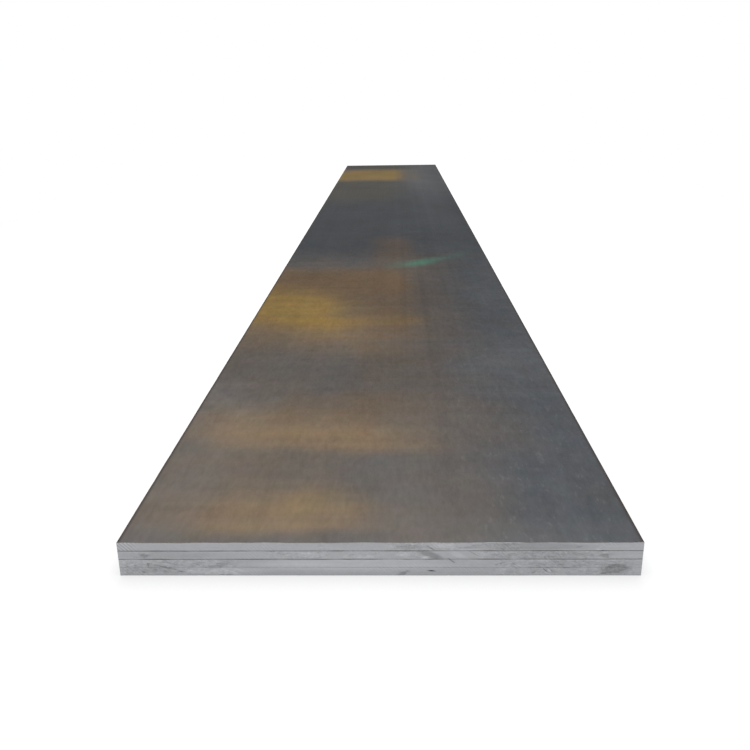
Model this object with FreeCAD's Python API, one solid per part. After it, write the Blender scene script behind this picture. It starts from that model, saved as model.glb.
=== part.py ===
"""A flush stack of four rolled aluminium plates, lying flat.

Frame: +Z up, +Y along the rolling direction of the plates, +X across them.
The origin is the middle of the underside of the stack, on the floor.
All sizes are in millimetres.
"""

import os

import FreeCAD
import Part

# Sizes of one plate
PLATE_WIDTH = 1220.0  # across the rolling direction, the common four-foot stock width
PLATE_LENGTH = 10000.0  # along the rolling direction
PLATE_THICKNESS = 22.0
ARRIS_BREAK = 1.0  # the flat filed along every edge, measured along each face

# The plates of the stack, from the floor up
PLATE_NAMES = ("plate_1_bottom", "plate_2", "plate_3", "plate_4_top")

OUTPUT_FOLDER = "parts"


def plate(underside_height):
    """One plate with its underside at the given height, centred over the origin."""
    corner = FreeCAD.Vector(-PLATE_WIDTH / 2, -PLATE_LENGTH / 2, underside_height)
    block = Part.makeBox(PLATE_WIDTH, PLATE_LENGTH, PLATE_THICKNESS, corner)
    return block.makeChamfer(ARRIS_BREAK, block.Edges)


def main():
    """Builds each plate where it lies in the stack and writes it to its own file."""
    os.makedirs(OUTPUT_FOLDER, exist_ok=True)
    for layer, name in enumerate(PLATE_NAMES):
        solid = plate(layer * PLATE_THICKNESS)
        solid.exportStep(os.path.join(OUTPUT_FOLDER, name + ".step"))


main()
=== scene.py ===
"""A flush stack of four long rolled aluminium plates with sawn ends, and its studio.

Frame: +Z up, +Y along the plates, +X across them, the origin on the floor under their middle.
Lengths are in metres, except where a name ends in _mm.
"""

import math
import random
from typing import NamedTuple

import bmesh
import bpy
import numpy as np
from mathutils import Matrix, Vector


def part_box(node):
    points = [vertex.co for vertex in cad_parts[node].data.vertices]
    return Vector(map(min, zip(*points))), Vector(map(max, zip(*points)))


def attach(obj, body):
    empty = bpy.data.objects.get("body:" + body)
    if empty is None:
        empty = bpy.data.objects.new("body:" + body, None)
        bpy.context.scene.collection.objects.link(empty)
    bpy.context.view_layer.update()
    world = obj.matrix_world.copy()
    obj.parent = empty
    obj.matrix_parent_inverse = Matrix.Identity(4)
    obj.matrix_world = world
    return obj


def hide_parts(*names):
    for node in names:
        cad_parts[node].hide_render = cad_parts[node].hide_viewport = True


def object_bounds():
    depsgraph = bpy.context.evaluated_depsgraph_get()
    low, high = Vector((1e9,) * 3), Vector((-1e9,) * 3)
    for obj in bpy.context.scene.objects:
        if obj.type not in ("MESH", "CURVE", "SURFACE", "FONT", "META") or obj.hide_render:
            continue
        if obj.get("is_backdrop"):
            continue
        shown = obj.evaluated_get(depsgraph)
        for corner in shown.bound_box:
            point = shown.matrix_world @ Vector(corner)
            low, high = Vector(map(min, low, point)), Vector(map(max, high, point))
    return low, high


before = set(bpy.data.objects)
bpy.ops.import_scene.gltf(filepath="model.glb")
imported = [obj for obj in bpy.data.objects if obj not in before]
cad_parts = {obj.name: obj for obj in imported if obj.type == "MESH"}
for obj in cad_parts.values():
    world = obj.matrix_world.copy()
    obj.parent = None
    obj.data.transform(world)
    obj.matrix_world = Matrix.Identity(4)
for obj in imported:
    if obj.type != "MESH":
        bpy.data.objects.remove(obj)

bl_info = {
    "name": "Rolled Plate Stack",
    "version": (1, 0, 0),
    "blender": (4, 5, 0),
    "location": "3D View > Sidebar > Plate Stack",
    "description": "Builds a flush stack of rolled aluminium plates and the studio around it",
    "category": "Add Mesh",
}

MM = 0.001
CAD_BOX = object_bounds()
PLATES = ("plate_1_bottom", "plate_2", "plate_3", "plate_4_top")
STACK_LOW, STACK_HIGH = (Vector(corner) for corner in CAD_BOX)
NEAR_END = STACK_LOW.y
PLATE_THICKNESS = (STACK_HIGH.z - STACK_LOW.z) / len(PLATES)


def length_prop(name, description, default):
    """A length in metres for a property group."""
    return bpy.props.FloatProperty(
        name=name, description=description, default=default, min=0.0, precision=4, unit="LENGTH"
    )


def colour_prop(name, description, default):
    """A linear colour for a property group."""
    return bpy.props.FloatVectorProperty(
        name=name, description=description, default=default, size=3, min=0.0, max=1.0, subtype="COLOR"
    )


def angle_prop(name, description, degrees):
    """An angle for a property group, its default given in degrees."""
    return bpy.props.FloatProperty(
        name=name, description=description, default=math.radians(degrees), subtype="ANGLE"
    )


class PlateShape(bpy.types.PropertyGroup):
    """Sizes of the plates' visible shape."""

    arris: length_prop("Arris", "Radius that the long and end edges are broken to", 0.8 * MM)
    tight_arris: length_prop("Tight Arris", "Radius at the seam that the saw smeared shut", 0.25 * MM)
    end_cell: length_prop("End Cell", "Mesh spacing on the sawn ends", 2.0 * MM)
    face_cell: length_prop("Face Cell", "Mesh spacing across the rolled faces", 30.0 * MM)
    fine_ring: length_prop("Fine Ring", "Mesh spacing along the plate beside its ends", 6.0 * MM)
    coarse_ring: length_prop("Coarse Ring", "Mesh spacing along the plate at its middle", 36.0 * MM)
    saw_depth: length_prop("Saw Mark Depth", "Depth of the deepest saw marks on the ends", 0.35 * MM)
    edge_depth: length_prop("Side Depth", "How far the trimmed sides wander inwards", 0.5 * MM)
    face_depth: length_prop("Face Wave", "How far the rolled faces dip", 0.25 * MM)


class PlateFinish(bpy.types.PropertyGroup):
    """Colours of the plates, as linear light."""

    # Warm skin and cool skin carry a painted reflection: warm on the left, cool on the right, over the
    # rolled grey.
    warm_skin_and_reflection: colour_prop("Warm Skin", "Rolled face on the left side", (0.084, 0.075, 0.068))
    cool_skin_and_reflection: colour_prop("Cool Skin", "Rolled face on the right side", (0.060, 0.063, 0.068))
    # Dark and pale skin carry painted reflection along the plate: dim over the middle length, bright by
    # the far end, and in some patches.
    dark_skin_and_dim_reflection: colour_prop("Dark Skin", "Darker, bluish middle length", (0.0455, 0.0485, 0.053))
    pale_skin_and_bright_reflection: colour_prop("Pale Skin", "Paler rolled face by the far end", (0.075, 0.077, 0.081))
    plain_skin: colour_prop("Plain Skin", "Rolled faces inside the stack", (0.075, 0.077, 0.080))
    # Gold, tan and brown are baked rolling oil and also painted warm reflection, laid in bands across the
    # plate.
    gold_oil_and_reflection: colour_prop("Gold", "Thick film of baked rolling oil", (0.192, 0.128, 0.041))
    tan: colour_prop("Tan", "Pale warm film near the sawn end", (0.142, 0.103, 0.065))
    brown_oil_and_reflection: colour_prop("Brown", "Thinner film of baked rolling oil", (0.099, 0.069, 0.044))
    russet: colour_prop("Russet", "Reddish patch", (0.074, 0.054, 0.041))
    olive: colour_prop("Olive", "Greenish grey film", (0.061, 0.058, 0.048))
    violet: colour_prop("Violet", "Violet edge of a film", (0.110, 0.070, 0.100))
    # Teal is a streak of oil and also a painted green reflection.
    teal_oil_and_reflection: colour_prop("Teal", "Thin green streak of oil", (0.050, 0.150, 0.110))
    sawn: colour_prop("Sawn End", "Bare metal, on the sawn ends and in faint scuffs", (0.37, 0.375, 0.39))
    trimmed: colour_prop("Trimmed Side", "Bare metal on the trimmed long sides", (0.20, 0.203, 0.21))
    # Grime and shade: oil and dust, and the painted shade in the seams between plates.
    grime_and_shade: colour_prop("Grime", "Oil and dust, in the seams and along the edges", (0.045, 0.036, 0.032))


class StudioSetup(bpy.types.PropertyGroup):
    """Camera, lamp and floor."""

    eye: bpy.props.FloatVectorProperty(
        name="Camera Place",
        description="Where the camera stands",
        default=(0.0428, -6.6488, 1.0733),
        size=3,
        subtype="TRANSLATION",
        unit="LENGTH",
    )
    turn: angle_prop("Camera Turn", "Heading of the camera, to the right of +Y", -1.5365)
    dip: angle_prop("Camera Dip", "How far the camera looks down", 19.2434)
    roll: angle_prop("Camera Roll", "Roll of the camera about its line of sight", 0.8645)
    lens: bpy.props.FloatProperty(
        name="Lens",
        description="Focal length on a 36 mm sensor, in millimetres",
        default=39.167,
        min=1.0,
        unit="CAMERA",
    )
    lamp_height: length_prop("Lamp Height", "Height of the ceiling lamp over the floor", 6.0)
    lamp_width: length_prop("Lamp Width", "Width of the ceiling lamp, across the plates", 6.0)
    lamp_length: length_prop("Lamp Length", "Length of the ceiling lamp, along the plates", 14.0)
    lamp_power: bpy.props.FloatProperty(
        name="Lamp Power", description="Power of the ceiling lamp", default=700.0, min=0.0, unit="POWER"
    )
    surround: bpy.props.FloatProperty(
        name="Surround", description="Strength of the plain light all round", default=0.6, min=0.0
    )
    floor_radius: length_prop("Floor Radius", "Radius of the round floor", 60.0)
    floor_drop: length_prop("Floor Drop", "Gap between the floor and the lowest plate", 0.2 * MM)
    floor_shade: colour_prop("Floor Shade", "Pale colour of the floor", (0.85, 0.85, 0.85))


# ---------------------------------------------------------------- the plates' shape


ARRIS_ROWS = np.array([0.0, 0.3, 0.7, 1.0, 1.6, 3.0])  # mesh rows over a broken edge, in radii
RING_GROWTH = 1.04  # how much wider each gap between rings is than the one nearer the end
SAW_PITCH = 9 * MM  # between the saw marks cut into the ends
SAW_ACROSS, SAW_UP = 0.83, 0.56  # how fast the saw marks pass by across and up the end


def stops(length, spacing, arris):
    """Positions from 0 to length, close together where the edge curves at both ends."""
    near = ARRIS_ROWS * arris
    if length < 12 * arris + 4 * spacing:
        near = near[:4]
    count = max(2, round((length - 2 * near[-1]) / spacing))
    middle = np.linspace(near[-1], length - near[-1], count + 1)[1:-1]
    return np.concatenate([near, middle, length - near[::-1]])


def ring_places(length, fine, coarse, start):
    """Distances along the plate from start to length - start, closer together by the ends."""
    half = [start]
    step = fine
    while half[-1] + step < length / 2:
        half.append(half[-1] + step)
        step = min(coarse, step * RING_GROWTH)
    half = np.array(half)
    return np.concatenate([half, [length / 2], length - half[::-1]])


def outline(across, up):
    """The cross-section's points, once round from its lower left corner, as rows of (x, z)."""
    low = [(x, up[0]) for x in across[:-1]]
    right = [(across[-1], z) for z in up[:-1]]
    high = [(x, up[-1]) for x in across[:0:-1]]
    left = [(across[0], z) for z in up[:0:-1]]
    return np.array(low + right + high + left)


def travel(points):
    """How far round its outline each point is, from 0, with the whole way round at the end."""
    steps = np.linalg.norm(np.roll(points, -1, 0) - points, axis=1)
    return np.concatenate([[0.0], np.cumsum(steps)])


def strip(first, second):
    """Quads between two rings of vertex numbers that have the same count."""
    after_first, after_second = np.roll(first, -1), np.roll(second, -1)
    return np.stack([first, after_first, after_second, second], 1).tolist()


def zip_rings(first, first_way, second, second_way):
    """Triangles between two rings of different counts, which start at the same corner."""
    faces = []
    i = j = 0
    while i < len(first) or j < len(second):
        a, b = first[i % len(first)], second[j % len(second)]
        step_first = j == len(second) or (i < len(first) and first_way[i + 1] <= second_way[j + 1])
        if step_first:
            i += 1
            faces.append((a, first[i % len(first)], b))
        else:
            j += 1
            faces.append((a, second[j % len(second)], b))
    return faces


def plate_grid(size, shape):
    """Vertices on the surface of a box of that size, from a corner at zero, and its faces."""
    width, length, thickness = size
    arris = shape.arris
    end_across = stops(width, shape.end_cell, arris)
    end_up = stops(thickness, shape.end_cell, arris)
    face_across = stops(width, shape.face_cell, arris)
    face_up = stops(thickness, 2.5 * shape.end_cell, arris)
    fine, coarse = outline(end_across, end_up), outline(face_across, face_up)
    fine_way, coarse_way = travel(fine), travel(coarse)
    edge_rows = ARRIS_ROWS * arris
    body_rows = ring_places(length, shape.fine_ring, shape.coarse_ring, edge_rows[-1] + shape.fine_ring)

    vertices, faces = [], []
    count = 0

    def add_ring(points, y):
        """Adds points at that distance along the plate, and gives their vertex numbers."""
        nonlocal count
        vertices.append(np.column_stack([points[:, 0], np.full(len(points), y), points[:, 1]]))
        numbers = np.arange(count, count + len(points))
        count += len(points)
        return numbers

    def add_cap(ring, y):
        """Fills an end with a grid whose border is the ring."""
        nx, nz = len(end_across), len(end_up)
        grid = np.empty((nz, nx), int)
        grid[0, :] = ring[:nx]
        grid[:, -1] = ring[nx - 1 : nx - 1 + nz]
        grid[-1, ::-1] = ring[nx + nz - 2 : 2 * nx + nz - 2]
        grid[::-1, 0] = np.append(ring[2 * nx + nz - 3 :], ring[0])
        inner = np.array([(x, z) for z in end_up[1:-1] for x in end_across[1:-1]])
        grid[1:-1, 1:-1] = add_ring(inner, y).reshape(nz - 2, nx - 2)
        quads = np.stack([grid[:-1, :-1], grid[:-1, 1:], grid[1:, 1:], grid[1:, :-1]], -1)
        faces.extend(quads.reshape(-1, 4).tolist())

    near_rings = [add_ring(fine, y) for y in edge_rows]
    body_rings = [add_ring(coarse, y) for y in body_rows]
    far_rings = [add_ring(fine, length - y) for y in edge_rows[::-1]]
    for rings in (near_rings, body_rings, far_rings):
        for first, second in zip(rings, rings[1:]):
            faces.extend(strip(first, second))
    faces.extend(zip_rings(near_rings[-1], fine_way, body_rings[0], coarse_way))
    faces.extend(zip_rings(body_rings[-1], coarse_way, far_rings[0], fine_way))
    add_cap(near_rings[0], 0.0)
    add_cap(far_rings[-1], length)
    return np.concatenate(vertices), faces


def waves(rng, u, v, longest, shortest, count=14):
    """A smooth random height from 0 to 1 over u and v, with wavelengths between the two given."""
    total = np.zeros_like(u)
    weight = 0.0
    for _ in range(count):
        wavelength = math.exp(rng.uniform(math.log(shortest), math.log(longest)))
        heading = rng.uniform(0, math.pi)
        strength = wavelength**0.5
        turn = 2 * math.pi / wavelength * (u * math.cos(heading) + v * math.sin(heading))
        total += strength * np.sin(turn + rng.uniform(0, 2 * math.pi))
        weight += strength
    return 0.5 + 0.5 * np.clip(total / weight * 2.2, -1, 1)


def fade(distance, reach):
    """1 at no distance, smoothly down to 0 at reach."""
    t = np.clip(1 - distance / reach, 0, 1)
    return t * t * (3 - 2 * t)


def nicks(rng, places, count, span, widest, deepest):
    """Extra edge radius from small knocks along an edge."""
    extra = np.zeros_like(places)
    for _ in range(count):
        centre = rng.uniform(*span)
        width = widest * rng.uniform(0.4, 1.0)
        extra += deepest * rng.random() ** 2 * np.exp(-(((places - centre) / width) ** 2))
    return extra


def round_pair(a, b, radius):
    """Moves points near the edge where depths a and b both reach zero onto an arc."""
    inner_a, inner_b = np.maximum(radius - a, 0), np.maximum(radius - b, 0)
    reach = np.hypot(inner_a, inner_b)
    pull = np.where((inner_a > 0) & (inner_b > 0) & (reach > radius), radius / np.maximum(reach, 1e-9), 1)
    new_a = np.where(pull < 1, radius - inner_a * pull, a)
    new_b = np.where(pull < 1, radius - inner_b * pull, b)
    return new_a, new_b


def plate_surface(points, size, layer, shape):
    """Breaks the box's edges and lays saw marks, waves and knocks into its faces."""
    rng = random.Random(40 + layer)
    width, length, thickness = size
    x, y, z = points.T
    right, far, high = x > width / 2, y > length / 2, z > thickness / 2
    dx = np.where(right, width - x, x)
    dy = np.where(far, length - y, y)
    dz = np.where(high, thickness - z, z)

    # Radius along the end edges, where a smeared seam is almost shut, and along the long edges
    smeared = ((layer == 0) & high) | ((layer == 1) & ~high)
    end_radius = np.where(smeared & ~far, shape.tight_arris, shape.arris)
    end_radius = end_radius * (0.75 + 0.5 * waves(rng, x, z, 0.2, 0.02))
    end_radius = end_radius + nicks(rng, x + 4 * far, 30, (0, 5.2), 3 * MM, 1.6 * MM)
    long_radius = shape.arris * (0.7 + 0.6 * waves(rng, y, 20 * x, 1.5, 0.1))
    for side in (~right & high, right & high):
        knock = nicks(rng, y, 50, (0, length), 30 * MM, 1.8 * MM)
        long_radius = long_radius + np.where(side, knock, 0)
    dx, dz = round_pair(dx, dz, long_radius)
    dy, dz = round_pair(dy, dz, end_radius)
    dx, dy = round_pair(dx, dy, np.full_like(dx, shape.arris))

    # Saw marks: slanted ridges that come and go, on a gently wandering cut
    slant = x * SAW_ACROSS + z * SAW_UP
    ridges = 0.5 + 0.5 * np.sin(2 * math.pi * slant / SAW_PITCH + 5 * waves(rng, x, z, 0.5, 0.05))
    patches = np.clip(waves(rng, x + 3 * far, z, 0.5, 0.06) * 2.4 - 1.0, 0, 1)
    cut = 0.35 * waves(rng, x + 3 * far, z, 0.4, 0.03) + 0.65 * patches * ridges
    dy = dy + shape.saw_depth * cut * fade(dy, 6 * MM)

    # Trimmed sides wander and carry drawn-out steps; rolled faces dip a little
    lean = 0.5 * waves(rng, y + 30 * right, z * 3, 3.0, 0.3)
    steps = 0.5 * waves(rng, y * 0.4 + 30 * right, z * 30, 0.5, 0.05)
    dx = dx + shape.edge_depth * (lean + steps) * fade(dx, 8 * MM)
    dz = dz + shape.face_depth * waves(rng, x + 9 * high, y, 2.5, 0.4) * fade(dz, 6 * MM)

    return np.column_stack(
        [
            np.where(right, width - dx, dx),
            np.where(far, length - dy, dy),
            np.where(high, thickness - dz, dz),
        ]
    )


ROLLED, SAWN, TRIMMED = range(3)


def face_finishes(points, faces, size, arris):
    """Which finish each face wears, from where its middle lies on the plain box."""
    width, length, thickness = size
    middles = np.array([points[list(face)].mean(0) for face in faces])
    from_side = np.minimum(middles[:, 0], width - middles[:, 0])
    from_end = np.minimum(middles[:, 1], length - middles[:, 1])
    finish = np.full(len(faces), ROLLED)
    finish[from_side < arris] = TRIMMED
    finish[from_end < arris] = SAWN
    return finish


def build_plate(node, layer, shape, finishes):
    """One plate as a closed mesh in the place of its CAD node."""
    low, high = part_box(node)
    size = np.array(high - low)
    points, faces = plate_grid(size, shape)
    placed = plate_surface(points, size, layer, shape) + np.array(low)
    mesh = bpy.data.meshes.new("rolled_" + node)
    mesh.from_pydata(placed.tolist(), [], faces)
    mesh.polygons.foreach_set("material_index", face_finishes(points, faces, size, shape.arris))
    mesh.polygons.foreach_set("use_smooth", np.ones(len(faces), bool))
    work = bmesh.new()
    work.from_mesh(mesh)
    bmesh.ops.recalc_face_normals(work, faces=work.faces)
    work.to_mesh(mesh)
    work.free()
    for finish in finishes:
        mesh.materials.append(finish)
    piece = bpy.data.objects.new("rolled_" + node, mesh)
    bpy.context.scene.collection.objects.link(piece)
    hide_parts(node)
    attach(piece, "root")


# ---------------------------------------------------------------- node helpers


class Nodes:
    """A node tree, with short ways to add the kinds used here. All but add return a socket."""

    def __init__(self, owner):
        self.owner = owner
        self.owner.use_nodes = True
        self.tree = owner.node_tree
        self.tree.nodes.clear()

    def add(self, kind, inputs=None, **settings):
        """A node with these settings. A socket given as an input is linked, and a number is set."""
        node = self.tree.nodes.new(kind)
        for name, value in settings.items():
            setattr(node, name, value)
        for key, value in (inputs or {}).items():
            if isinstance(value, bpy.types.NodeSocket):
                self.tree.links.new(value, node.inputs[key])
            else:
                node.inputs[key].default_value = value
        return node

    def math(self, operation, *values, clamp=False):
        """One step of arithmetic on numbers."""
        node = self.add("ShaderNodeMath", dict(enumerate(values)), operation=operation, use_clamp=clamp)
        return node.outputs[0]

    def ramp(self, value, start, end, low=0.0, high=1.0):
        """A smooth step of value, from low at start to high at end."""
        inputs = {"Value": value, "From Min": start, "From Max": end, "To Min": low, "To Max": high}
        return self.add("ShaderNodeMapRange", inputs, interpolation_type="SMOOTHSTEP").outputs[0]

    def mix(self, factor, below, above, blend="MIX"):
        """One colour over another."""
        inputs = {0: factor, 6: below, 7: above}
        return self.add("ShaderNodeMix", inputs, data_type="RGBA", blend_type=blend).outputs[2]

    def between(self, factor, first, second):
        """A number that goes from first to second."""
        return self.add("ShaderNodeMix", {0: factor, 2: first, 3: second}).outputs[0]

    def either(self, factor, first, second):
        """A shader that goes from first to second."""
        return self.add("ShaderNodeMixShader", {0: factor, 1: first, 2: second}).outputs[0]

    def seen(self):
        """1 where the camera sees this, straight or through a mirror or glass."""
        path = self.add("ShaderNodeLightPath").outputs
        mirrored = self.math("MAXIMUM", path["Is Glossy Ray"], path["Is Transmission Ray"])
        return self.math("MAXIMUM", path["Is Camera Ray"], mirrored)


class Surface(Nodes):
    """A material's nodes, which start from the place on the object."""

    def __init__(self, name):
        super().__init__(bpy.data.materials.new(name))
        self.place = self.add("ShaderNodeTexCoord").outputs["Object"]
        self.x, self.y, self.z = self.add("ShaderNodeSeparateXYZ", {0: self.place}).outputs

    def stretched(self, scale):
        """The place on the object, scaled by axis."""
        return self.add("ShaderNodeVectorMath", {0: self.place, 1: scale}, operation="MULTIPLY").outputs[0]

    def noise(self, scale, detail=3.0, roughness=0.55, distortion=0.0):
        """Soft noise from 0 to 1, with features per metre given by axis."""
        inputs = {
            "Vector": self.stretched(scale),
            "Scale": 1.0,
            "Detail": detail,
            "Roughness": roughness,
            "Distortion": distortion,
        }
        return self.add("ShaderNodeTexNoise", inputs).outputs["Fac"]

    def shaded(self, shader):
        """The finished material, with that shader."""
        self.add("ShaderNodeOutputMaterial", {"Surface": shader})
        return self.owner

    def metal(self, colour, roughness, height, bump, distance, edge_tint):
        """The finished material, a metal with a bump from height and an edge gloss of that tint."""
        relief = {"Strength": bump, "Distance": distance, "Height": height}
        inputs = {
            "Base Color": colour,
            "Roughness": roughness,
            "Normal": self.add("ShaderNodeBump", relief).outputs[0],
            "Metallic": 1.0,
            "Specular Tint": (edge_tint, edge_tint, edge_tint, 1.0),
        }
        return self.shaded(self.add("ShaderNodeBsdfPrincipled", inputs).outputs[0])


def rgba(colour):
    """A linear colour with full opacity."""
    return (*colour, 1.0)


# ---------------------------------------------------------------- the plates' finishes


class Film(NamedTuple):
    """A soft-edged film, scuff or painted reflection on the top face. Along is measured from the near end.
    """

    colour: str  # one of the colours of PlateFinish
    strength: float
    across: tuple  # left and right edge
    along: tuple  # near and far edge
    soft_across: tuple  # how softly the left and right edges fade
    soft_along: tuple  # how softly the near and far edges fade
    skew: float = 0.0  # how much nearer its right end lies than its left, per metre across


# Painted in sheets across the plate, as bands of warm reflection over baked oil. The other films are even.
SHEETED_OIL_AND_REFLECTION = ("gold_oil_and_reflection", "tan", "brown_oil_and_reflection")

# From the lowest film to the highest. The dark middle length and the pale far end are painted reflection,
# dimmer and brighter, over the rolled grey.
FILMS = (
    Film("dark_skin_and_dim_reflection", 1.0, (-0.70, 0.70), (3.34, 7.40), (0.10, 0.10), (0.90, 1.60)),
    Film("pale_skin_and_bright_reflection", 1.0, (-0.70, 0.70), (7.05, 11.0), (0.10, 0.10), (3.00, 0.10)),
    Film("olive", 0.8, (-0.70, 0.08), (6.20, 8.00), (0.10, 0.40), (1.20, 0.50)),
    Film("dark_skin_and_dim_reflection", 0.4, (-0.70, 0.15), (9.30, 11.0), (0.10, 0.60), (0.50, 0.10)),
    Film("russet", 0.64, (-0.11, 0.15), (3.36, 4.12), (0.24, 0.14), (0.50, 0.50)),
    Film("gold_oil_and_reflection", 0.16, (-0.10, 0.32), (7.95, 9.36), (0.20, 0.24), (0.40, 0.60)),
    Film("gold_oil_and_reflection", 0.92, (-0.80, 0.12), (8.04, 9.34), (0.10, 0.18), (0.56, 0.60)),
    Film("gold_oil_and_reflection", 0.40, (-0.64, -0.36), (8.45, 9.05), (0.12, 0.30), (0.40, 0.50)),
    Film("gold_oil_and_reflection", 0.50, (-0.24, 0.08), (8.20, 8.62), (0.30, 0.20), (0.30, 0.50)),
    Film("olive", 0.85, (-0.80, 0.20), (9.48, 11.0), (0.10, 0.30), (0.30, 0.10)),
    Film("grime_and_shade", 0.20, (-0.80, 0.00), (9.54, 11.0), (0.10, 0.30), (0.20, 0.10)),
    Film("violet", 0.35, (-0.80, -0.50), (9.00, 9.50), (0.02, 0.16), (0.30, 0.30)),
    Film("dark_skin_and_dim_reflection", 0.45, (0.02, 0.46), (1.95, 3.20), (0.16, 0.16), (0.50, 0.40)),
    Film("brown_oil_and_reflection", 0.32, (-0.10, 0.34), (0.95, 3.45), (0.10, 0.30), (0.40, 0.50)),
    Film("brown_oil_and_reflection", 1.0, (-0.80, 0.11), (1.72, 3.04), (0.10, 0.20), (0.80, 0.36)),
    Film("tan", 0.48, (-0.80, -0.02), (1.66, 2.34), (0.10, 0.30), (0.40, 0.30), 0.30),
    Film("gold_oil_and_reflection", 0.74, (-0.80, -0.20), (2.08, 2.70), (0.10, 0.36), (0.40, 0.44), 0.60),
    Film("gold_oil_and_reflection", 0.20, (-0.44, 0.16), (1.86, 2.02), (0.20, 0.14), (0.14, 0.16)),
    Film("dark_skin_and_dim_reflection", 0.24, (-0.26, 0.20), (1.98, 2.55), (0.20, 0.16), (0.24, 0.40)),
    Film("brown_oil_and_reflection", 0.22, (-0.10, 0.38), (0.52, 0.95), (0.20, 0.16), (0.16, 0.30)),
    Film("tan", 0.80, (-0.62, 0.16), (0.58, 0.83), (0.30, 0.18), (0.12, 0.30), 0.14),
    Film("tan", 0.18, (-0.80, 0.00), (0.06, 0.55), (0.10, 0.50), (0.10, 0.30)),
    Film("tan", 0.68, (-0.46, -0.04), (0.07, 0.27), (0.26, 0.22), (0.08, 0.20)),
    Film("gold_oil_and_reflection", 0.13, (-0.26, -0.04), (0.15, 0.28), (0.10, 0.12), (0.08, 0.10)),
    Film("brown_oil_and_reflection", 0.42, (-0.34, 0.20), (0.74, 0.98), (0.16, 0.14), (0.20, 0.20)),
    Film("cool_skin_and_reflection", 0.42, (-0.12, 0.20), (0.22, 0.50), (0.14, 0.14), (0.10, 0.14)),
    Film("dark_skin_and_dim_reflection", 0.18, (-0.26, 0.40), (0.92, 1.42), (0.20, 0.20), (0.20, 0.16)),
    Film("sawn", 0.045, (-0.80, -0.44), (-0.2, 1.16), (0.10, 0.30), (0.05, 0.30)),
    Film("sawn", 0.035, (0.02, 0.80), (-0.2, 0.09), (0.30, 0.10), (0.05, 0.12)),
    Film("warm_skin_and_reflection", 0.40, (0.26, 0.46), (0.46, 0.88), (0.16, 0.12), (0.14, 0.16)),
    Film("warm_skin_and_reflection", 0.55, (0.02, 0.32), (-0.2, 0.95), (0.20, 0.22), (0.10, 0.50)),
    Film("pale_skin_and_bright_reflection", 0.65, (0.36, 0.80), (0.95, 1.60), (0.30, 0.10), (0.30, 0.50)),
)


def film_mask(n, film, x, y):
    """Where a film lies: 1 inside, fading over its soft edges."""
    (left, right), (near, far) = film.across, film.along
    (soft_left, soft_right), (soft_near, soft_far) = film.soft_across, film.soft_along
    near, far = near + NEAR_END, far + NEAR_END
    if film.skew:
        y = n.math("MULTIPLY_ADD", n.math("SUBTRACT", x, left), film.skew, y)
    mask = n.ramp(x, left - soft_left / 2, left + soft_left / 2, 0.0, film.strength)
    for value, start, end in (
        (x, right + soft_right / 2, right - soft_right / 2),
        (y, near - soft_near / 2, near + soft_near / 2),
        (y, far + soft_far / 2, far - soft_far / 2),
    ):
        mask = n.math("MULTIPLY", mask, n.ramp(value, start, end))
    return mask


def teal_streak_and_reflection(n):
    """Where the thin curved streak of oil and painted green reflection lies, about a third of the way
    along.
    """
    run = n.math("MAXIMUM", n.math("ADD", n.x, 0.06), 0.0)
    rise = n.math("MULTIPLY", n.math("MULTIPLY", run, run), 1.25)
    off = n.math("ABSOLUTE", n.math("SUBTRACT", n.y, n.math("ADD", rise, 3.15 + NEAR_END)))
    thick = n.math("MULTIPLY", n.ramp(n.x, 0.02, 0.21, 0.0, 0.46), n.ramp(n.x, 0.36, 0.20))
    thin = n.math("MULTIPLY", n.ramp(n.x, -0.12, 0.12, 0.0, 0.17), n.ramp(n.x, 0.60, 0.34))
    return n.math("MULTIPLY", n.ramp(off, 0.15, 0.0), n.math("ADD", thick, thin))


def film_colour(n, colours):
    """The top face's colour: warm to cool across the plate as a painted reflection over the grey, under
    its films.
    """
    sway = n.noise((2.0, 1.0, 1), detail=3)
    ragged = n.noise((9, 5, 1), detail=4)
    drift = n.noise((1.6, 2.2, 1), detail=3)
    x = n.math("MULTIPLY_ADD", sway, 0.20, n.math("SUBTRACT", n.x, 0.14))
    x = n.math("MULTIPLY_ADD", ragged, 0.08, x)
    y = n.math("MULTIPLY_ADD", drift, 0.24, n.math("SUBTRACT", n.y, 0.12))
    cool_reflection_share = n.math("ADD", n.ramp(x, -0.50, 0.05, 0.0, 0.25), n.ramp(x, 0.04, 0.32, 0.0, 0.75))
    colour = n.mix(cool_reflection_share, rgba(colours.warm_skin_and_reflection), rgba(colours.cool_skin_and_reflection))
    # Bands across the plate for the gold, tan and brown films: painted warm reflection over the oil.
    oil_and_reflection_sheets = n.math("MULTIPLY_ADD", n.noise((1.0, 13, 1), detail=4, roughness=0.6), 1.1, 0.42)
    for film in FILMS:
        mask = film_mask(n, film, x, y)
        if film.colour in SHEETED_OIL_AND_REFLECTION:
            mask = n.math("MULTIPLY", mask, oil_and_reflection_sheets, clamp=True)
        colour = n.mix(mask, colour, rgba(getattr(colours, film.colour)))
    # The teal streak goes on top: oil and painted green reflection.
    return n.mix(teal_streak_and_reflection(n), colour, rgba(colours.teal_oil_and_reflection))


def summed(n, start, layers):
    """Start with each layer of noise added at its strength."""
    total = start
    for layer, strength in layers:
        total = n.math("MULTIPLY_ADD", layer, strength, total)
    return total


def lengthwise_strips(n):
    """Fine light and dark strips right of the middle, plainer further from the near end."""
    strips = n.math("MULTIPLY_ADD", n.noise((26, 0.15, 1), detail=2), 0.34, -0.17)
    inside = n.math("MULTIPLY", n.ramp(n.x, -0.04, 0.10), n.ramp(n.x, 0.48, 0.34))
    strips = n.math("MULTIPLY", strips, inside)
    return n.math("MULTIPLY", strips, n.ramp(n.y, -4.6, -2.4, 0.25, 1.0))


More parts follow.
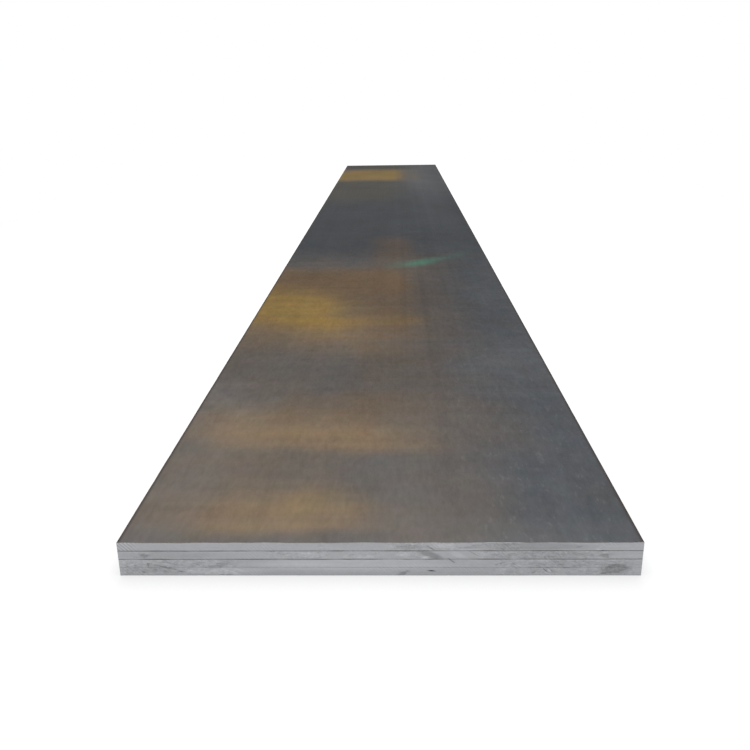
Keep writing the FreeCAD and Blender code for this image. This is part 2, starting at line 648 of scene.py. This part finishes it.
def painted_sheen_strip(n):
    """1 in a broad painted sheen, a light strip right of the middle, over the far half."""
    strip = n.math("MULTIPLY", n.ramp(n.x, 0.12, 0.3), n.ramp(n.x, 0.58, 0.38))
    return n.math("MULTIPLY", strip, n.ramp(n.y, -1.0, 0.4))


def tinted(n, colour):
    """The colour with faint patches, warm and cool, then violet and green."""
    for scale, first, second in (
        ((6, 5, 1), (1.025, 1.0, 0.975), (0.98, 1.0, 1.02)),
        ((14, 11, 1), (1.01, 0.99, 1.01), (0.99, 1.01, 0.99)),
    ):
        patches = n.ramp(n.noise(scale, detail=4), 0.34, 0.66)
        colour = n.mix(1.0, colour, n.mix(patches, rgba(first), rgba(second)), blend="MULTIPLY")
    return colour


def flecked(n, colour):
    """The colour with pale flecks on the right, fading away from the near end."""
    flecks = n.ramp(n.noise((50, 16, 1), detail=6, roughness=0.75), 0.54, 0.70)
    right_near = n.math("MULTIPLY", n.ramp(n.x, 0.1, 0.3), n.ramp(n.y, 3.2 + NEAR_END, 0.2 + NEAR_END))
    strength = n.math("MULTIPLY", flecks, n.math("MULTIPLY", right_near, 0.15))
    return n.mix(strength, colour, rgba((0.2, 0.2, 0.2)))


def rolled_skin(colours):
    """The top face: satin grey with grain along the plate, under films of baked oil and painted
    reflections.
    """
    n = Surface("rolled_skin")
    grain = n.noise((160, 0.8, 1), detail=4)
    mottle = n.noise((16, 10, 1), detail=6, roughness=0.75)
    tone = summed(
        n,
        0.12,
        (
            (n.noise((900, 6, 1), detail=3), 0.06),
            (grain, 0.10),
            (n.noise((18, 0.25, 1), detail=3), 0.14),
            (mottle, 0.40),
            (n.noise((3, 2, 1), detail=4), 0.40),
            (n.noise((70, 18, 1), detail=4, roughness=0.75), 0.44),
            (n.noise((1.5, 16, 1), detail=4), 0.22),
            (lengthwise_strips(n), 1.0),
            (painted_sheen_strip(n), 0.13),
        ),
    )
    colour = n.mix(1.0, film_colour(n, colours), tone, blend="MULTIPLY")
    colour = flecked(n, tinted(n, colour))
    # The top face darkens towards its long edges, over the last 12 mm, in the grime and shade colour.
    from_side = n.math("SUBTRACT", STACK_HIGH.x, n.math("ABSOLUTE", n.x))
    rim = n.ramp(from_side, 12 * MM, 2 * MM, 0.0, 0.75)
    colour = n.mix(rim, colour, rgba(colours.grime_and_shade))
    roughness = summed(n, 0.42, ((mottle, 0.10), (grain, 0.10)))
    height = n.math("MULTIPLY_ADD", mottle, 0.5, grain)
    return n.metal(colour, roughness, height, bump=0.1, distance=0.2 * MM, edge_tint=0.42)


def plain_skin(colours):
    """The rolled faces that lie inside the stack or on the floor."""
    n = Surface("plain_skin")
    hair = n.noise((900, 6, 1), detail=3)
    grain = n.noise((160, 0.8, 1), detail=4)
    mottle = n.noise((14, 9, 1), detail=6, roughness=0.65)
    tone = summed(n, 0.5, ((hair, 0.2), (grain, 0.4), (mottle, 0.4)))
    colour = n.mix(1.0, rgba(colours.plain_skin), tone, blend="MULTIPLY")
    roughness = n.math("MULTIPLY_ADD", grain, 0.12, 0.46)
    return n.metal(colour, roughness, grain, bump=0.15, distance=0.2 * MM, edge_tint=0.42)


class Smear(NamedTuple):
    """A mark on the near sawn end: a soft ellipse that darkens or brightens."""

    x: float
    z_mm: float
    half_long_mm: float
    half_thick_mm: float
    lean: float  # in degrees from level, above 0 where its right end is higher
    tone: float  # below 0 darkens and above 0 brightens


SMEARS = (
    # plate_4_top
    Smear(0.073, 76, 46, 10, 0, -0.20),
    Smear(0.122, 73, 17, 2.5, -30, -0.30),
    Smear(0.153, 79, 36, 8, 0, 0.12),
    Smear(0.254, 76, 36, 8, 0, 0.07),
    Smear(0.345, 77, 200, 15, 0, -0.22),
    Smear(0.461, 76, 10, 4, 30, -0.16),
    Smear(0.505, 70, 8, 3, -20, 0.16),
    # plate_3
    Smear(-0.490, 55, 160, 14, 0, -0.10),
    Smear(-0.547, 53, 15, 8, 0, -0.26),
    Smear(-0.546, 60, 14, 3, 8, 0.08),
    Smear(-0.165, 56, 46, 9, 0, 0.09),
    Smear(-0.033, 50, 27, 5, 4, 0.10),
    Smear(0.058, 56, 18, 8, 0, 0.10),
    Smear(0.120, 56, 42, 11, -20, -0.31),
    Smear(0.111, 49, 14, 4, 15, 0.26),
    Smear(0.170, 40, 12, 2.4, -38, -0.40),
    Smear(0.185, 55, 26, 9, -20, 0.12),
    Smear(0.224, 57, 20, 2, -30, -0.22),
    Smear(0.390, 55, 190, 14, 0, -0.17),
    Smear(0.521, 54, 16, 7, 0, -0.24),
    # plate_2 and plate_1_bottom, smeared together by the saw
    Smear(-0.530, 20, 90, 22, 0, -0.08),
    Smear(-0.590, 26, 8, 12, 0, -0.12),
    Smear(-0.572, 26, 6, 12, 10, -0.14),
    Smear(-0.540, 29, 3, 9, 0, -0.28),
    Smear(-0.553, 9, 9, 3, -30, -0.32),
    Smear(-0.495, 21, 44, 3, -14, -0.26),
    Smear(-0.480, 31, 38, 2.5, -12, -0.16),
    Smear(-0.464, 11, 12, 2.6, -6, -0.36),
    Smear(-0.427, 30, 22, 7, 18, -0.14),
    Smear(-0.430, 11, 28, 8, 0, 0.10),
    Smear(-0.360, 12, 150, 13, 0, 0.12),
    Smear(-0.376, 27, 44, 8, 17, -0.20),
    Smear(-0.347, 11, 26, 3, -16, 0.20),
    Smear(-0.326, 15, 16, 2.4, -16, 0.16),
    Smear(-0.361, 3, 24, 2.4, 3, -0.30),
    Smear(-0.060, 28, 300, 24, 0, 0.14),
    Smear(-0.200, 32, 130, 12, 0, 0.05),
    Smear(0.059, 7, 20, 6, 20, -0.30),
    Smear(0.123, 13, 14, 2.4, -3, -0.85),
    Smear(0.282, 31, 16, 2.2, 22, -0.25),
    Smear(0.321, 27, 14, 2, -32, -0.22),
    Smear(0.408, 22, 85, 2, 0, -0.26),
    Smear(0.360, 11, 7, 2.2, 0, -0.30),
    Smear(0.388, 14, 12, 2.2, -42, -0.50),
    Smear(0.396, 15, 10, 1.8, -42, 0.40),
    Smear(0.404, 12, 7, 2.2, -20, -0.30),
    Smear(0.460, 33, 190, 13, 0, -0.13),
    Smear(0.548, 18, 48, 17, 5, -0.33),
    Smear(0.524, 6, 15, 4, 0, -0.30),
)


class Torn(NamedTuple):
    """A stretch of the near sawn end where the saw tore the metal rather than cut it."""

    left: float
    right: float
    low_mm: float
    high_mm: float
    strength: float


TORN = (
    Torn(-0.150, -0.105, 68, 88, 0.6),
    Torn(0.020, 0.330, 68, 88, 0.9),
    Torn(-0.585, -0.530, 46, 66, 0.7),
    Torn(-0.260, -0.115, 46, 66, 1.0),
    Torn(-0.085, 0.010, 46, 66, 0.7),
    Torn(0.030, 0.100, 46, 66, 1.0),
    Torn(0.225, 0.540, 46, 66, 0.9),
    Torn(-0.610, -0.330, 2, 43, 1.0),
    Torn(0.270, 0.600, 2, 43, 1.0),
)

TORN_FADE = 15 * MM  # how far either side of its left and right edges a torn stretch fades
TORN_FADE_UP = 2 * MM  # and of its lower and upper edges


def torn_mask(n):
    """1 in the torn stretches of the near end, fading over their edges."""
    total = 0.0
    for torn in TORN:
        low, high = torn.low_mm * MM, torn.high_mm * MM
        mask = n.ramp(n.x, torn.left - TORN_FADE, torn.left + TORN_FADE, 0.0, torn.strength)
        for value, start, end in (
            (n.x, torn.right + TORN_FADE, torn.right - TORN_FADE),
            (n.z, low - TORN_FADE_UP, low + TORN_FADE_UP),
            (n.z, high + TORN_FADE_UP, high - TORN_FADE_UP),
        ):
            mask = n.math("MULTIPLY", mask, n.ramp(value, start, end))
        total = n.math("MAXIMUM", mask, total)
    return total


ENDLESS = 1e6  # a size, in metres, far past the plates'


def smear_tone(n, smear, place):
    """The darkening or brightening of one smear, the same all through the plate's length."""
    inputs = {
        "Vector": place,
        "Location": (smear.x, 0.0, smear.z_mm * MM),
        "Rotation": (0.0, -math.radians(smear.lean), 0.0),
        "Scale": (smear.half_long_mm * MM, ENDLESS, smear.half_thick_mm * MM),
    }
    placed = n.add("ShaderNodeMapping", inputs, vector_type="TEXTURE").outputs[0]
    blob = n.add("ShaderNodeTexGradient", {0: placed}, gradient_type="SPHERICAL").outputs["Fac"]
    return n.ramp(blob, 0.0, 0.6, 0.0, smear.tone)


def saw_smears(n, warp):
    """Every smear's tone, their outlines bent by warp."""
    bend_x = n.math("MULTIPLY_ADD", warp, 0.020, -0.010)
    bend_z = n.math("MULTIPLY_ADD", warp, -0.012, 0.006)
    bend = n.add("ShaderNodeCombineXYZ", {"X": bend_x, "Z": bend_z}).outputs[0]
    bent = n.add("ShaderNodeVectorMath", {0: n.place, 1: bend}, operation="ADD").outputs[0]
    tone = 0.0
    for smear in SMEARS:
        tone = n.math("ADD", smear_tone(n, smear, bent), tone)
    return tone


def seam_grime_and_shade(n):
    """Painted shade and grime in the seams between plates, heavier in some stretches."""
    from_seam = n.math("PINGPONG", n.z, PLATE_THICKNESS / 2)
    heavy = n.ramp(n.noise((9, 2, 45), detail=3), 0.35, 0.65, 0.5 * MM, 1.9 * MM)
    return n.math("SUBTRACT", 1.0, n.math("DIVIDE", from_seam, heavy), clamp=True)


def smeared_shut(n):
    """How far the saw smeared the lowest seam shut, all along the near end."""
    low = n.ramp(n.z, 33 * MM, 31 * MM)
    low = n.math("MULTIPLY", low, n.ramp(n.z, 11 * MM, 13 * MM))
    near = n.ramp(n.y, 0.1, -0.1, 0.0, 0.93)
    return n.math("MULTIPLY", low, near)


TOOTH_PITCH = 9.5 * MM  # between the fine tooth marks that only show as colour and relief


def saw_teeth(n, warp):
    """Slanted tooth marks, and how plainly they show: most in the top corner on the left side."""
    slant = n.math("MULTIPLY", n.math("ADD", n.z, n.x), 2 * math.pi / TOOTH_PITCH)
    teeth = n.math("SINE", n.math("MULTIPLY_ADD", warp, 2.5, slant))
    patch = n.ramp(n.noise((9, 3, 30), detail=2), 0.50, 0.68, 0.0, 0.30)
    corner = n.math("MULTIPLY", n.ramp(n.x, -0.555, -0.585), n.ramp(n.z, 0.064, 0.068))
    return teeth, n.math("MAXIMUM", patch, corner)


def sawn_end(colours):
    """The sawn ends: bright bare metal with level scores, slanted saw marks and smears."""
    n = Surface("sawn_end")
    near = n.ramp(n.y, 0.1, -0.1)
    warp = n.noise((55, 3, 150), detail=4, roughness=0.6)
    marks = n.math("MULTIPLY", saw_smears(n, warp), near)
    scores = n.noise((12, 3, 1200), detail=3)
    bands = n.noise((2, 3, 160), detail=3)
    chatter = n.noise((70, 3, 70), detail=5, roughness=0.7)
    tone = summed(n, n.math("ADD", marks, 0.68), ((scores, 0.22), (bands, 0.20), (chatter, 0.22)))

    far_torn = n.ramp(n.noise((3, 3, 22), detail=2), 0.50, 0.60, 0.2, 0.8)
    torn = n.between(near, far_torn, n.math("MAXIMUM", torn_mask(n), 0.2))
    curls = n.noise((22, 3, 120), detail=4, roughness=0.6, distortion=1.6)
    shreds = n.noise((85, 3, 150), detail=3, roughness=0.7, distortion=1.0)
    for layer, strength in ((curls, 0.55), (shreds, 0.85)):
        layer = n.math("MULTIPLY", n.math("SUBTRACT", layer, 0.5), torn)
        tone = n.math("MULTIPLY_ADD", layer, strength, tone)

    teeth, patch = saw_teeth(n, warp)
    tone = n.math("MULTIPLY_ADD", n.math("MULTIPLY", teeth, patch), 0.16, tone)
    # Painted shade: the sawn end darkens towards its foot, within 2.5 mm of the floor.
    painted_foot_shade = n.ramp(n.z, 2.5 * MM, 0.5 * MM, 0.0, -0.3)
    tone = n.math("ADD", tone, painted_foot_shade)
    colour = n.mix(1.0, rgba(colours.sawn), tone, blend="MULTIPLY")
    # Painted shade and grime in the seams, less where the saw smeared the lowest seam shut.
    grime_and_shade = n.math("MULTIPLY", seam_grime_and_shade(n), n.math("SUBTRACT", 1.0, smeared_shut(n)))
    colour = n.mix(grime_and_shade, colour, rgba(colours.grime_and_shade))
    height = n.math("MULTIPLY_ADD", teeth, 0.2, n.math("ADD", scores, chatter))
    roughness = n.math("MULTIPLY_ADD", chatter, 0.2, 0.36)
    return n.metal(colour, roughness, height, bump=0.2, distance=0.4 * MM, edge_tint=0.6)


def trimmed_side(colours):
    """The trimmed long sides: drawn-out scores along the plate, painted shade and grime in the seams."""
    n = Surface("trimmed_side")
    scores = n.noise((1, 2, 1200), detail=4)
    bands = n.noise((1, 0.8, 160), detail=3)
    chatter = n.noise((1, 30, 90), detail=4)
    tone = summed(n, 0.3, ((scores, 0.45), (bands, 0.55), (chatter, 0.4)))
    colour = n.mix(1.0, rgba(colours.trimmed), tone, blend="MULTIPLY")
    colour = n.mix(seam_grime_and_shade(n), colour, rgba(colours.grime_and_shade))
    height = n.math("ADD", scores, chatter)
    roughness = n.math("MULTIPLY_ADD", chatter, 0.2, 0.36)
    return n.metal(colour, roughness, height, bump=0.2, distance=0.4 * MM, edge_tint=0.5)


# ---------------------------------------------------------------- the studio


SHADOW_OVAL = (1.0, 0.45, 0.0)  # the floor keeps its shadow in an oval, longer along the plates
SHADOW_NEAR, SHADOW_FAR = 2.2, 3.4  # where it starts to fade, and where the floor is all white
SHADOW_LIFT = 0.6  # how far the floor is lifted to white inside the oval


def build_world(studio):
    """White all round where it is seen, and a plain soft light elsewhere."""
    n = Nodes(bpy.data.worlds.new("studio_surround"))
    levels = {"Value": n.seen(), "To Min": studio.surround, "To Max": 1.0}
    strength = n.add("ShaderNodeMapRange", levels).outputs[0]
    white = {"Color": rgba((1.0, 1.0, 1.0)), "Strength": strength}
    light = n.add("ShaderNodeBackground", white).outputs[0]
    n.add("ShaderNodeOutputWorld", {"Surface": light})
    bpy.context.scene.world = n.owner


def pale_floor(studio):
    """The floor's material: pale, half lifted to white where it is seen near the stack, so that
    the soft shadow shows, and all white further off."""
    n = Surface("pale_floor")
    plain = n.add("ShaderNodeBsdfDiffuse", {"Color": rgba(studio.floor_shade)}).outputs[0]
    white = n.add("ShaderNodeEmission", {"Strength": 1.0}).outputs[0]
    reach = n.add("ShaderNodeVectorMath", {0: n.stretched(SHADOW_OVAL)}, operation="LENGTH")
    lift = n.ramp(reach.outputs["Value"], SHADOW_NEAR, SHADOW_FAR, SHADOW_LIFT, 1.0)
    return n.shaded(n.either(n.seen(), plain, n.either(lift, plain, white)))


def build_floor(studio):
    """A plain pale floor under the stack."""
    mesh = bpy.data.meshes.new("studio_floor")
    work = bmesh.new()
    bmesh.ops.create_circle(work, cap_ends=True, segments=96, radius=studio.floor_radius)
    work.to_mesh(mesh)
    work.free()
    mesh.materials.append(pale_floor(studio))
    floor = bpy.data.objects.new("studio_floor", mesh)
    floor.location.z = -studio.floor_drop
    bpy.context.scene.collection.objects.link(floor)
    floor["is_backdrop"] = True


def build_lamp(studio):
    """A wide soft lamp that faces down from over the stack."""
    lamp = bpy.data.lights.new("ceiling_lamp", "AREA")
    lamp.shape = "RECTANGLE"
    lamp.size, lamp.size_y = studio.lamp_width, studio.lamp_length
    lamp.energy = studio.lamp_power
    holder = bpy.data.objects.new("ceiling_lamp", lamp)
    holder.location.z = studio.lamp_height
    bpy.context.scene.collection.objects.link(holder)


def build_camera(studio):
    """The camera, from its heading, dip and roll."""
    turn, dip = studio.turn, studio.dip
    ahead = Vector((math.sin(turn) * math.cos(dip), math.cos(turn) * math.cos(dip), -math.sin(dip)))
    level = Vector((math.cos(turn), -math.sin(turn), 0.0))
    down = ahead.cross(level)
    right = level * math.cos(studio.roll) + down * math.sin(studio.roll)
    up = level * math.sin(studio.roll) - down * math.cos(studio.roll)
    camera = bpy.data.objects.new("studio_camera", bpy.data.cameras.new("studio_camera"))
    aim = Matrix((right, up, -ahead)).transposed().to_4x4()
    camera.matrix_world = Matrix.Translation(studio.eye) @ aim
    camera.data.sensor_width = 36.0
    camera.data.lens = studio.lens
    camera.data.clip_start = 0.05
    camera.data.clip_end = 200.0
    bpy.context.scene.collection.objects.link(camera)
    bpy.context.scene.camera = camera


# ---------------------------------------------------------------- operators and panel


class STOCK_OT_plates(bpy.types.Operator):
    """Builds the four plates of the stack over their CAD solids"""

    bl_idname = "stock.plates"
    bl_label = "Build Plates"

    def execute(self, context):
        shape, colours = context.scene.plate_shape, context.scene.plate_finish
        top, inside, end, side = (
            make(colours) for make in (rolled_skin, plain_skin, sawn_end, trimmed_side)
        )
        for layer, node in enumerate(PLATES):
            skin = top if node == PLATES[-1] else inside
            build_plate(node, layer, shape, (skin, end, side))
        return {"FINISHED"}


class STOCK_OT_studio(bpy.types.Operator):
    """Builds the floor, the plain light and the camera"""

    bl_idname = "stock.studio"
    bl_label = "Build Studio"

    def execute(self, context):
        studio = context.scene.studio_setup
        build_world(studio)
        build_floor(studio)
        build_lamp(studio)
        build_camera(studio)
        context.scene.view_settings.view_transform = "Standard"
        return {"FINISHED"}


class STOCK_PT_plate_stack(bpy.types.Panel):
    """The stack's sizes, colours and build buttons"""

    bl_idname = "STOCK_PT_plate_stack"
    bl_label = "Plate Stack"
    bl_space_type = "VIEW_3D"
    bl_region_type = "UI"
    bl_category = "Plate Stack"

    def draw(self, context):
        for group, operator in (
            (context.scene.plate_shape, None),
            (context.scene.plate_finish, "stock.plates"),
            (context.scene.studio_setup, "stock.studio"),
        ):
            column = self.layout.column()
            for name in group.bl_rna.properties.keys():
                if name not in ("rna_type", "name"):
                    column.prop(group, name)
            if operator:
                column.operator(operator)


GROUPS = {"plate_shape": PlateShape, "plate_finish": PlateFinish, "studio_setup": StudioSetup}
CLASSES = (*GROUPS.values(), STOCK_OT_plates, STOCK_OT_studio, STOCK_PT_plate_stack)


def register():
    for cls in CLASSES:
        bpy.utils.register_class(cls)
    for name, group in GROUPS.items():
        setattr(bpy.types.Scene, name, bpy.props.PointerProperty(type=group))


def unregister():
    for name in GROUPS:
        delattr(bpy.types.Scene, name)
    for cls in reversed(CLASSES):
        bpy.utils.unregister_class(cls)


def main():
    register()
    bpy.ops.stock.plates()
    bpy.ops.stock.studio()
    bpy.context.view_layer.update()
    boxes = {"cad_box": CAD_BOX, "visual_box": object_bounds()}
    boxes = {name: [list(corner) for corner in box] for name, box in boxes.items()}


if __name__ == "__main__":
    main()
